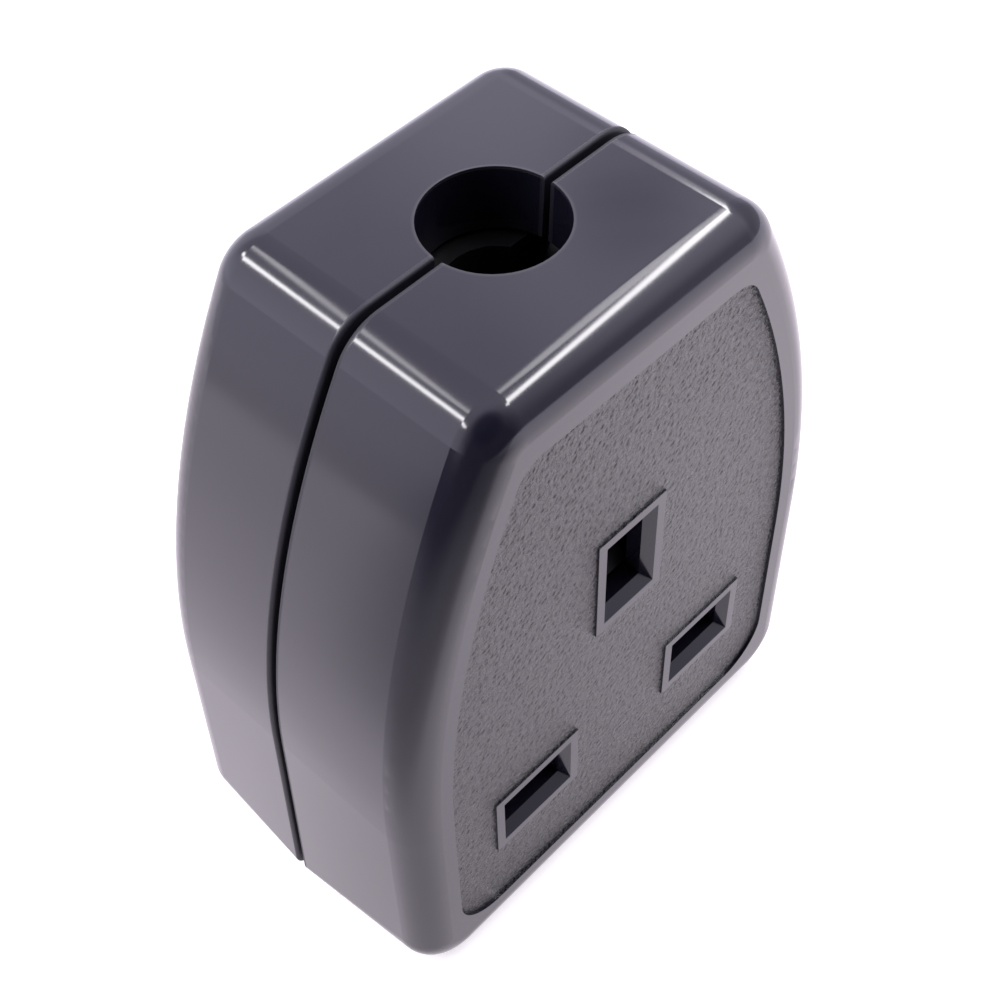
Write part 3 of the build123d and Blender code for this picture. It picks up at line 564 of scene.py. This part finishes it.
def floor_paint(look):
    """Pale matt floor with a trace of unevenness"""
    material, tree, shader, where = new_material("pale_floor")
    cloud = {"Vector": where["Object"], "Scale": CLOUD_SCALE, "Detail": 4.0}
    cloud = node(tree, "ShaderNodeTexNoise", cloud).outputs[0]
    paint = mixed(tree, cloud, look.floor, times(CLOUD_DARKER, look.floor))
    tree.links.new(paint, shader.inputs["Base Color"])
    shader.inputs["Roughness"].default_value = FLOOR_ROUGHNESS
    shader.inputs["Specular IOR Level"].default_value = FLOOR_SPECULAR
    shader.inputs["Emission Color"].default_value = (*FLOOR_TINT, 1)
    shader.inputs["Emission Strength"].default_value = look.floor_glow
    return material


def wall_paint():
    """Even white light of the wall"""
    material, _, shader, _ = new_material("pale_wall")
    shader.inputs["Base Color"].default_value = (0, 0, 0, 1)
    shader.inputs["Specular IOR Level"].default_value = 0.0
    shader.inputs["Emission Color"].default_value = (1, 1, 1, 1)
    shader.inputs["Emission Strength"].default_value = WALL_GLOW
    return material


# The card that the gloss mirrors. LIGHT is a slanting line that parts a bright floor from a dark one. The
# dark floor fades along DARK_WAY and is dimmer round the foot (FOOT) and under the camera (SHADE). The bright
# floor changes with its distance from the middle and drops beyond an edge on the left (EDGE), more so in
# front. The stops give a place in millimetres and a brightness.
FOOT_HALF = Vector((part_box("front_housing")[1].x, -FACE_Y, 0))
FOOT_SHADE, FOOT_REACH = 0.58, 42 * MM
DARK_WAY = Vector((-0.976, -0.217, 0))
DARK_STOPS = (
    (-60, 2.15), (20, 1.8), (45, 1.6), (60, 1.02), (80, 0.8),
    (110, 0.76), (150, 0.62), (200, 0.37), (300, 0.1),
)
LIGHT_STOPS = ((30, 1.35), (100, 1.68), (150, 1.8), (200, 1.97), (300, 1.95), (800, 2.05), (1500, 2.2))
LIGHT_WAY = Vector((0.501, 1.0, 0))
LIGHT_FROM, LIGHT_SOFT = -11.6 * MM, 12.8 * MM
EDGE_WAY = Vector((-0.961, 0.276, 0))
EDGE_FROM, EDGE_TO = 212 * MM, 232 * MM
EDGE_FRONT, EDGE_REAR, EDGE_DIM = 100 * MM, 220 * MM, (0.65, 0.81)
SHADE_CENTRE = Vector((-60 * MM, -210 * MM, 0))
SHADE_NEAR, SHADE_FAR, SHADE_DEEP = 40 * MM, 140 * MM, 0.55
SKY_TINT = (0.955, 0.915, 1.1)
CARD_TINT = (1.02, 0.935, 1.05)
TINT_FROM, TINT_TO = 100 * MM, 450 * MM


def card_glow(look):
    """Light of the floor as the gloss sees it: bright behind and dark on the left and under the camera"""
    material = bpy.data.materials.new("card_glow")
    material.use_nodes = True
    tree = material.node_tree
    tree.nodes.clear()
    spot = node(tree, "ShaderNodeTexCoord").outputs["Object"]
    side = node(tree, "ShaderNodeVectorMath", {0: spot}, operation="ABSOLUTE").outputs[0]
    side = node(tree, "ShaderNodeVectorMath", {0: side, 1: FOOT_HALF}, operation="SUBTRACT").outputs[0]
    side = node(tree, "ShaderNodeVectorMath", {0: side, 1: (0, 0, 0)}, operation="MAXIMUM").outputs[0]
    gap = measured(tree, "LENGTH", side)
    clear = ranged(tree, gap, 0.0, FOOT_REACH, FOOT_SHADE, 1.0, "SMOOTHSTEP")
    away = measured(tree, "DISTANCE", spot, SHADE_CENTRE)
    shade = ranged(tree, away, SHADE_NEAR, SHADE_FAR, SHADE_DEEP, 1.0, "SMOOTHSTEP")
    dark = stepped(tree, along(tree, spot, DARK_WAY), DARK_STOPS, MM)
    dark = maths(tree, "MULTIPLY", maths(tree, "MULTIPLY", dark, clear), shade)
    far = measured(tree, "LENGTH", spot)
    beyond = ranged(tree, along(tree, spot, EDGE_WAY), EDGE_FROM, EDGE_TO, 0.0, 1.0, "SMOOTHSTEP")
    dim = ranged(tree, along(tree, spot, (0, 1, 0)), EDGE_FRONT, EDGE_REAR, *EDGE_DIM)
    dim = blended(tree, beyond, 1.0, dim)
    light = maths(tree, "MULTIPLY", stepped(tree, far, LIGHT_STOPS, MM), dim)
    edge = along(tree, spot, LIGHT_WAY)
    lit = ranged(tree, edge, LIGHT_FROM - LIGHT_SOFT, LIGHT_FROM + LIGHT_SOFT, 0.0, 1.0, "SMOOTHSTEP")
    strength = maths(tree, "MULTIPLY", blended(tree, lit, dark, light), look.card)
    tint = mixed(tree, ranged(tree, far, TINT_FROM, TINT_TO, 0.0, 1.0), CARD_TINT, SKY_TINT)
    glow = node(tree, "ShaderNodeEmission", {"Color": tint, "Strength": strength})
    end = node(tree, "ShaderNodeOutputMaterial")
    tree.links.new(glow.outputs[0], end.inputs["Surface"])
    return material


# The room above. Its brightness follows the share of a direction that points along SKY_WAY. GLOW adds to it
# behind on the left, and RIGHT on the right, where it climbs from RISE. BLIND is the dark round the camera,
# FLANK the dimmer right side and PATCH a dim spot that shows on the right of the top.
SKY_WAY = Vector((0.551, 0.834, 0))
SKY_STOPS = (
    (-1.0, 0.1), (-0.7, 0.11), (-0.45, 0.5), (-0.2, 1.1), (0.05, 1.5), (0.3, 1.45),
    (0.6, 1.25), (0.69, 1.3), (0.78, 1.6), (0.86, 1.65), (1.0, 1.3),
)
GLOW_WAY = Vector((-0.77, 0.64, 0))
GLOW_FROM, GLOW_TO, GLOW_MORE = 0.6, 0.95, 0.7
BLIND_WAY = Vector((-0.45, -0.48, 0.75))
BLIND_FROM, BLIND_TO, BLIND_LEAST = 0.78, 0.95, 0.12
ACROSS, UPWARD = Vector((1, 0, 0)), Vector((0, 0, 1))
RIGHT_FROM, RIGHT_TO, RIGHT_MORE = 0.48, 0.54, 0.5
RISE_FROM, RISE_TO = 0.3, 0.6
FLANK_FROM, FLANK_TO, FLANK_LEAST = 0.66, 0.82, 0.6
PATCH_WAY = Vector((0.588, 0.474, 0.655))
PATCH_FROM, PATCH_TO, PATCH_LEAST = 0.018, 0.058, 0.52


def room_light(look):
    """Light from all round, dim behind the camera and brighter behind the socket"""
    world = bpy.data.worlds.new("room")
    bpy.context.scene.world = world
    world.use_nodes = True
    tree = world.node_tree
    way = node(tree, "ShaderNodeTexCoord").outputs["Generated"]
    bright = stepped(tree, along(tree, way, SKY_WAY), SKY_STOPS)
    glow = ranged(tree, along(tree, way, GLOW_WAY), GLOW_FROM, GLOW_TO, 0.0, GLOW_MORE, "SMOOTHSTEP")
    across = along(tree, way, ACROSS)
    right = ranged(tree, across, RIGHT_FROM, RIGHT_TO, 0.0, RIGHT_MORE, "SMOOTHSTEP")
    high = ranged(tree, along(tree, way, UPWARD), RISE_FROM, RISE_TO, 0.0, 1.0)
    glow = maths(tree, "MULTIPLY_ADD", right, high, glow)
    blind = ranged(tree, along(tree, way, BLIND_WAY), BLIND_FROM, BLIND_TO, 1.0, BLIND_LEAST, "SMOOTHSTEP")
    flank = ranged(tree, across, FLANK_FROM, FLANK_TO, 1.0, FLANK_LEAST, "SMOOTHSTEP")
    off = measured(tree, "DISTANCE", way, PATCH_WAY)
    patch = ranged(tree, off, PATCH_FROM, PATCH_TO, PATCH_LEAST, 1.0, "SMOOTHSTEP")
    strength = maths(tree, "ADD", bright, glow)
    for factor in (blind, flank, patch, look.sky):
        strength = maths(tree, "MULTIPLY", strength, factor)
    back = tree.nodes["Background"]
    back.inputs["Color"].default_value = (*SKY_TINT, 1)
    tree.links.new(strength, back.inputs["Strength"])


# Each overhead lamp: its name, its middle and its length and width in millimetres, its turn in degrees and
# its share of the brightness.
LAMP_RISE, LAMP_TINT = 450 * MM, (1.0, 0.98, 1.0)
STRIPS = (
    ("left_strip", (-380, 345), (480, 80), 46, 1.0),
    ("left_strip_dim", (-148, 311), (240, 42), 27, 0.33),
    ("front_strip", (294, -58), (380, 57), 62, 1.0),
    ("front_strip_dim", (300, 125), (190, 70), 38, 0.25),
    ("corner_strip", (490, 205), (340, 60), 49, 0.9),
    ("right_strip", (598, 326), (110, 16), 21, 0.42),
    ("right_strip_mid", (612, 350), (120, 24), 22, 0.06),
    ("right_strip_dim", (652, 398), (200, 74), 23, 0.042),
)


def strip_lamps(look):
    """Long lamps overhead, whose mirror images run along the top's edges"""
    for name, (x, y), (long, wide), turn, bright in STRIPS:
        light = bpy.data.lights.new(name, "AREA")
        light.shape = "RECTANGLE"
        light.size = long * MM
        light.size_y = wide * MM
        light.energy = look.lamp * bright * math.pi * light.size * light.size_y
        light.color = LAMP_TINT
        lamp = bpy.data.objects.new(name, light)
        lamp.location = (x * MM, y * MM, TOP_Z + LAMP_RISE)
        lamp.rotation_euler.z = math.radians(turn)
        bpy.context.scene.collection.objects.link(lamp)


SENSOR_WIDTH, CLIP_START = 36.0, 5 * MM


def camera_at_view(look):
    """The camera, at the place from which the object was seen"""
    camera = bpy.data.objects.new("camera", bpy.data.cameras.new("camera"))
    bpy.context.scene.collection.objects.link(camera)
    camera.data.lens = look.lens
    camera.data.sensor_width = SENSOR_WIDTH
    camera.data.clip_start = CLIP_START
    sight = Vector(look.aim) - Vector(look.eye)
    camera.rotation_mode = "QUATERNION"
    camera.rotation_quaternion = sight.to_track_quat("-Z", "Y") @ Quaternion((0, 0, 1), look.roll)
    camera.location = look.eye
    bpy.context.scene.camera = camera


class SOCKET_OT_case(bpy.types.Operator):
    """Finish the two halves of the case in gloss black"""

    bl_idname = "socket.case"
    bl_label = "Case halves"

    def execute(self, context):
        dress(CASE_NODES, gloss_moulding(context.scene.socket_case))
        return {"FINISHED"}


class SOCKET_OT_shutter(bpy.types.Operator):
    """Finish the safety shutter behind the slots"""

    bl_idname = "socket.shutter"
    bl_label = "Safety shutter"

    def execute(self, context):
        tint = context.scene.socket_inside.shutter
        dress(("shutter",), satin_moulding("satin_black", tint, SHUTTER_ROUGHNESS))
        return {"FINISHED"}


class SOCKET_OT_carrier(bpy.types.Operator):
    """Finish the contact carrier and the cord clamp"""

    bl_idname = "socket.carrier"
    bl_label = "Carrier and cord clamp"

    def execute(self, context):
        tint = context.scene.socket_inside.carrier
        dress(INNER_NODES, satin_moulding("dark_moulding", tint, CARRIER_ROUGHNESS))
        return {"FINISHED"}


class SOCKET_OT_contacts(bpy.types.Operator):
    """Finish the three contact strips in rolled brass"""

    bl_idname = "socket.contacts"
    bl_label = "Contact strips"

    def execute(self, context):
        tint = context.scene.socket_inside.strip_brass
        dress(CONTACT_NODES, bare_metal("rolled_brass", tint, *ROLLED))
        return {"FINISHED"}


class SOCKET_OT_terminals(bpy.types.Operator):
    """Finish terminals, rivets and inserts in turned brass"""

    bl_idname = "socket.terminals"
    bl_label = "Terminals, rivets and inserts"

    def execute(self, context):
        tint = context.scene.socket_inside.turned_brass
        dress(TURNED_NODES, bare_metal("turned_brass", tint, *TURNED))
        return {"FINISHED"}


class SOCKET_OT_screws(bpy.types.Operator):
    """Finish all the screws in zinc plating"""

    bl_idname = "socket.screws"
    bl_label = "Screws"

    def execute(self, context):
        tint = context.scene.socket_inside.plating
        dress(SCREW_NODES, bare_metal("zinc_plating", tint, *PLATED))
        return {"FINISHED"}


class SOCKET_OT_springs(bpy.types.Operator):
    """Finish the jaw clips and the shutter's coil in spring steel"""

    bl_idname = "socket.springs"
    bl_label = "Clips and coil"

    def execute(self, context):
        steel = bare_metal("spring_steel_wire", context.scene.socket_inside.spring, *DRAWN)
        dress(CLIP_NODES, steel)
        squeezed_coil(steel)
        return {"FINISHED"}


class SOCKET_OT_stage(bpy.types.Operator):
    """Set up the floor, the light and the camera"""

    bl_idname = "socket.stage"
    bl_label = "Stage"

    def execute(self, context):
        look = context.scene.socket_stage
        flat_sheet("floor", FLOOR_HALF, -SHEET_LIFT, floor_paint(look))
        flat_sheet("reflecting_card", CARD_HALF, SHEET_LIFT, card_glow(look), ("camera", *LIGHT_RAYS))
        wall_ring(wall_paint())
        room_light(look)
        strip_lamps(look)
        camera_at_view(look)
        context.scene.view_settings.view_transform = "Standard"
        return {"FINISHED"}


OPERATORS = (
    SOCKET_OT_case,
    SOCKET_OT_shutter,
    SOCKET_OT_carrier,
    SOCKET_OT_contacts,
    SOCKET_OT_terminals,
    SOCKET_OT_screws,
    SOCKET_OT_springs,
    SOCKET_OT_stage,
)


class SOCKET_PT_panel(bpy.types.Panel):
    """Lists the pieces of the socket"""

    bl_idname = "SOCKET_PT_panel"
    bl_label = "Trailing socket"
    bl_space_type = "VIEW_3D"
    bl_region_type = "UI"
    bl_category = "Socket"

    def draw(self, context):
        for operator in OPERATORS:
            self.layout.operator(operator.bl_idname)


SETTINGS = {"socket_case": CaseFinish, "socket_inside": InsideFinish, "socket_stage": StageLook}


def register():
    for made in (*SETTINGS.values(), *OPERATORS, SOCKET_PT_panel):
        bpy.utils.register_class(made)
    for name, group in SETTINGS.items():
        setattr(bpy.types.Scene, name, PointerProperty(type=group))


def unregister():
    for name in SETTINGS:
        delattr(bpy.types.Scene, name)
    for made in (SOCKET_PT_panel, *reversed(OPERATORS), *reversed(SETTINGS.values())):
        bpy.utils.unregister_class(made)


def main():
    register()
    bpy.ops.socket.case()
    bpy.ops.socket.shutter()
    bpy.ops.socket.carrier()
    bpy.ops.socket.contacts()
    bpy.ops.socket.terminals()
    bpy.ops.socket.screws()
    bpy.ops.socket.springs()
    bpy.ops.socket.stage()


if __name__ == "__main__":
    main()
